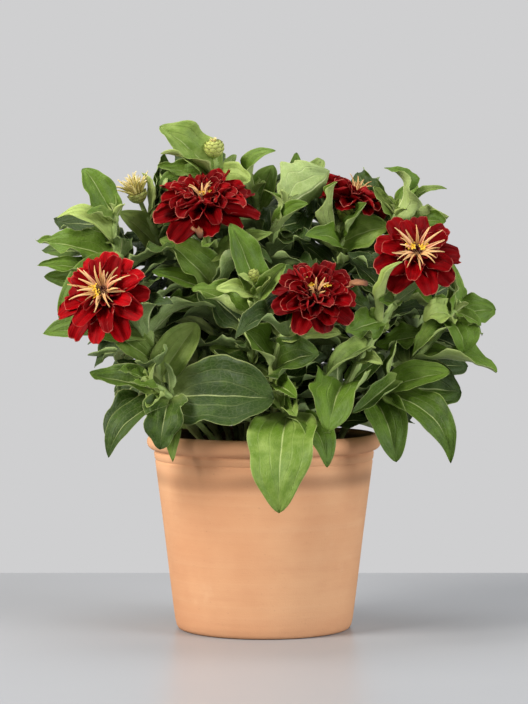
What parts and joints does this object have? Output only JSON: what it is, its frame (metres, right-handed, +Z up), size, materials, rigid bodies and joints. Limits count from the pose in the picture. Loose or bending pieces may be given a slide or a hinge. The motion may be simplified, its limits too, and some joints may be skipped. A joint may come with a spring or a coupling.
{
  "type": "potted common zinnia",
  "caption": "Free-standing clay pot of soil with a bushy zinnia: wavy green leaves on upright stems, double crimson blooms with cream florets, and buds.",
  "frame": {"origin": "on the floor, under the middle of the pot's flat base", "axes": "+Z up along the pot's axis, -Y towards the plant's front, +X to the right as seen from the front"},
  "size_m": [0.3897, 0.2887, 0.4302],
  "materials": {
    "clay": "matte unglazed clay",
    "earth": "moist crumbly potting soil, at the density of wood",
    "leaf": "soft satin leaf, at the density of fabric",
    "petal": "velvety petal, at the density of fabric",
    "floret": "matte cream floret, at the density of fabric"
  },
  "bodies": {
    "root": {"back_inner_shoot_leaves": "leaf", "back_left_shoot_leaves": "leaf", "back_middle_shoot_leaves": "leaf", "back_right_shoot_leaves": "leaf", "back_shoot_leaves": "leaf", "front_bloom_leaves": "leaf", "front_florets": "floret", "front_petals": "petal", "left_bloom_leaves": "leaf", "left_bud_florets": "floret", "left_bud_leaves": "leaf", "left_florets": "floret", "left_front_shoot_leaves": "leaf", "left_petals": "petal", "left_shoot_leaves": "leaf", "pot": "clay", "right_back_shoot_leaves": "leaf", "right_bloom_leaves": "leaf", "right_florets": "floret", "right_petals": "petal", "right_shoot_leaves": "leaf", "rim_shoot_leaves": "leaf", "small_bud_leaves": "leaf", "soil": "earth", "top_bud_leaves": "leaf", "upper_left_bloom_leaves": "leaf", "upper_left_florets": "floret", "upper_left_petals": "petal", "upper_right_bloom_leaves": "leaf", "upper_right_florets": "floret", "upper_right_petals": "petal", "upper_shoot_leaves": "leaf"}
  },
  "joints": []
}
